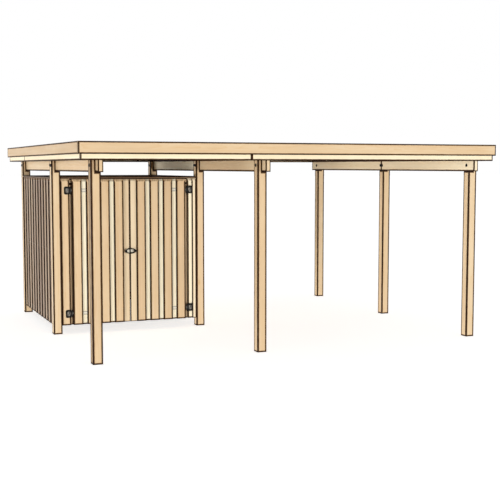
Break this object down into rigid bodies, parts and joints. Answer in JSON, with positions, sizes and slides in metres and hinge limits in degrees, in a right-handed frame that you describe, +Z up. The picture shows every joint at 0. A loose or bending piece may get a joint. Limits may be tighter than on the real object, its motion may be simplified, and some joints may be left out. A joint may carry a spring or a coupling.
{
  "type": "carport with a shed",
  "caption": "Flat-roofed timber carport on square posts, with one car bay, a side bay and a boarded shed behind double doors.",
  "frame": {"origin": "on the ground under the middle of the roof", "axes": "+X to the right along the front, +Y from the front to the back, +Z up"},
  "size_m": [5.61, 5.02, 2.584],
  "materials": {
    "frame_timber": "planed pine, unpainted",
    "roof_timber": "sawn pine",
    "fascia_boards": "planed pine, unpainted",
    "shed_boards": "board on board, planed pine",
    "roof_covering": "bitumen sheet with fine grit",
    "ironwork": "black, half matt"
  },
  "bodies": {
    "carport": {"beam_left_back": "frame_timber", "beam_left_front": "frame_timber", "beam_middle_back": "frame_timber", "beam_middle_front": "frame_timber", "beam_right_back": "frame_timber", "beam_right_front": "frame_timber", "door_head": "shed_boards", "door_jamb_left": "shed_boards", "door_jamb_right": "shed_boards", "hinge_plates_left": "ironwork", "hinge_plates_right": "ironwork", "inner_fascia_back": "fascia_boards", "inner_fascia_front": "fascia_boards", "inner_fascia_left": "fascia_boards", "inner_fascia_right": "fascia_boards", "outer_fascia_back": "fascia_boards", "outer_fascia_front": "fascia_boards", "outer_fascia_left": "fascia_boards", "outer_fascia_right": "fascia_boards", "post_back_left": "frame_timber", "post_back_middle": "frame_timber", "post_back_right": "frame_timber", "post_front_left": "frame_timber", "post_front_middle": "frame_timber", "post_front_right": "frame_timber", "post_middle_left": "frame_timber", "post_middle_middle": "frame_timber", "post_middle_right": "frame_timber", "rafter_1": "roof_timber", "rafter_2": "roof_timber", "rafter_3": "roof_timber", "rafter_4": "roof_timber", "rafter_5": "roof_timber", "rafter_6": "roof_timber", "rafter_7": "roof_timber", "roof_covering": "roof_covering", "roof_deck": "roof_timber", "shed_back_wall": "shed_boards", "shed_left_wall": "shed_boards", "shed_right_wall": "shed_boards"},
    "left_door": {"door_left": "shed_boards", "hinge_straps_left": "ironwork", "door_pull_left": "ironwork"},
    "right_door": {"door_right": "shed_boards", "hinge_straps_right": "ironwork", "door_pull_right": "ironwork"}
  },
  "joints": [
    {"name": "left_door_hinge", "type": "hinge", "parent": "carport", "child": "left_door", "pos_m": [-2.363, -0.0455, 1.1], "axis": [0, 0, -1], "range_deg": [0, 150]},
    {"name": "right_door_hinge", "type": "hinge", "parent": "carport", "child": "right_door", "pos_m": [-0.697, -0.0455, 1.1], "axis": [0, 0, 1], "range_deg": [0, 150]}
  ]
}
